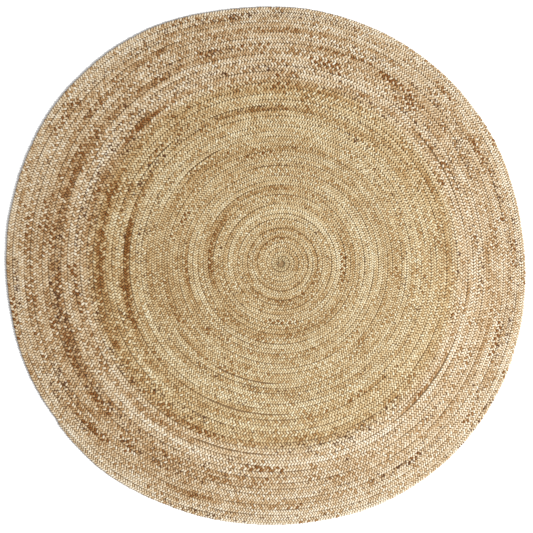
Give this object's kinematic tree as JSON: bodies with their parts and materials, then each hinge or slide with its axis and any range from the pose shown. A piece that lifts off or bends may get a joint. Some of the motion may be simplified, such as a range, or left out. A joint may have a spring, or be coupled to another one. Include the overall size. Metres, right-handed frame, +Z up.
{
  "type": "round jute rug",
  "caption": "Round flat floor rug of natural jute: one flat braid coiled outward from an off-centre eye and sewn edge to edge, with a ribbed top and a slightly uneven rim.",
  "frame": {"origin": "on the floor plane, under the middle of the rug's footprint", "axes": "+Z up through the rug's thickness; +X and +Y along the floor, with the rug seen from above as in the picture: +X to its right and +Y to its top"},
  "size_m": [1.821, 1.818, 0.01],
  "materials": {
    "jute": "matt natural jute braid, honey and cream with brown flecks"
  },
  "bodies": {
    "root": {"braided_coil": "jute"}
  },
  "joints": []
}
